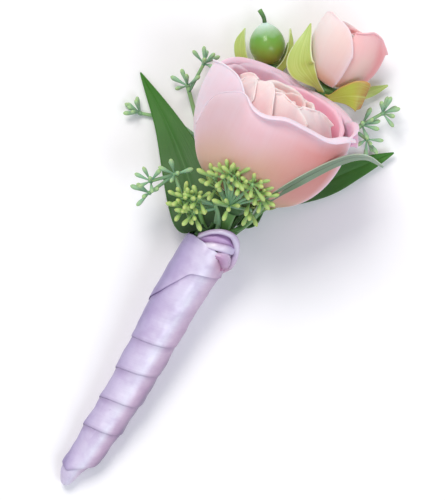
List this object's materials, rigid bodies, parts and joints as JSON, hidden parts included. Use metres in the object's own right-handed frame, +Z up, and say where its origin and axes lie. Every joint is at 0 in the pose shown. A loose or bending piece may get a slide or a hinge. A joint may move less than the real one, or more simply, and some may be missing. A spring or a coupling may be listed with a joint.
{
  "type": "boutonniere",
  "caption": "Boutonniere: an open rose, a rosebud, a berry, leaves and seeded greenery on a ribbon-wound handle.",
  "frame": {"origin": "middle of the bounding box, at the surface that the boutonniere lies on", "axes": "+Y from the tip of the handle to the flowers, +X to the right seen from above, +Z up"},
  "size_m": [0.0636, 0.133, 0.0482],
  "materials": {
    "petal": "soft matt pale pink",
    "bud_petal": "soft matt coral pink",
    "calyx": "fresh light green, faint wax",
    "berry": "glossy green skin",
    "leaf": "dark green, waxy satin",
    "eucalyptus": "pale green with bloom",
    "tape": "waxed crepe, matt",
    "ribbon": "lilac satin"
  },
  "bodies": {
    "root": {"rose_petals": "petal", "rosebud_petals": "bud_petal", "rose_calyx_and_stem": "calyx", "rosebud_calyx_and_stem": "calyx", "berry": "berry", "berry_sepals_and_stem": "calyx", "ruscus_leaf_left": "leaf", "ruscus_leaf_right_low": "leaf", "ruscus_leaf_right_high": "leaf", "ruscus_leaf_back": "leaf", "eucalyptus_front": "eucalyptus", "eucalyptus_left": "eucalyptus", "eucalyptus_right": "eucalyptus", "stem_tape": "tape", "satin_ribbon": "ribbon"}
  },
  "joints": []
}
